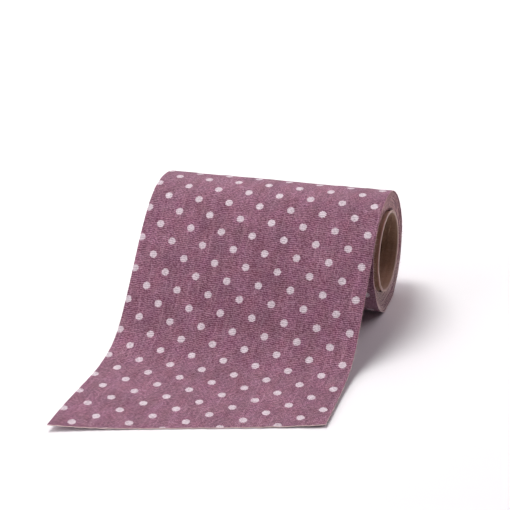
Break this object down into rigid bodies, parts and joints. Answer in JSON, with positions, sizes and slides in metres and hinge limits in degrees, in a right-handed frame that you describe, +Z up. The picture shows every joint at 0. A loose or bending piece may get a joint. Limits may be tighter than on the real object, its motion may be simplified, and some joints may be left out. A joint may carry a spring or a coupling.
{
  "type": "roll of fabric ribbon",
  "caption": "Wide cotton ribbon with a polka-dot print, wound on a cardboard core and lying on its side, its free end drawn out flat in front.",
  "frame": {"origin": "on the surface that the roll lies on, under the middle of its bounding box", "axes": "+X along the roll's axis, to the right when facing the drawn-out end; +Y from the free end back to the roll; +Z up"},
  "size_m": [0.1006, 0.15, 0.051],
  "materials": {
    "ribbon": "matte",
    "core": "matte"
  },
  "bodies": {
    "root": {"core": "core", "roll": "ribbon", "loose_end": "ribbon"}
  },
  "joints": []
}
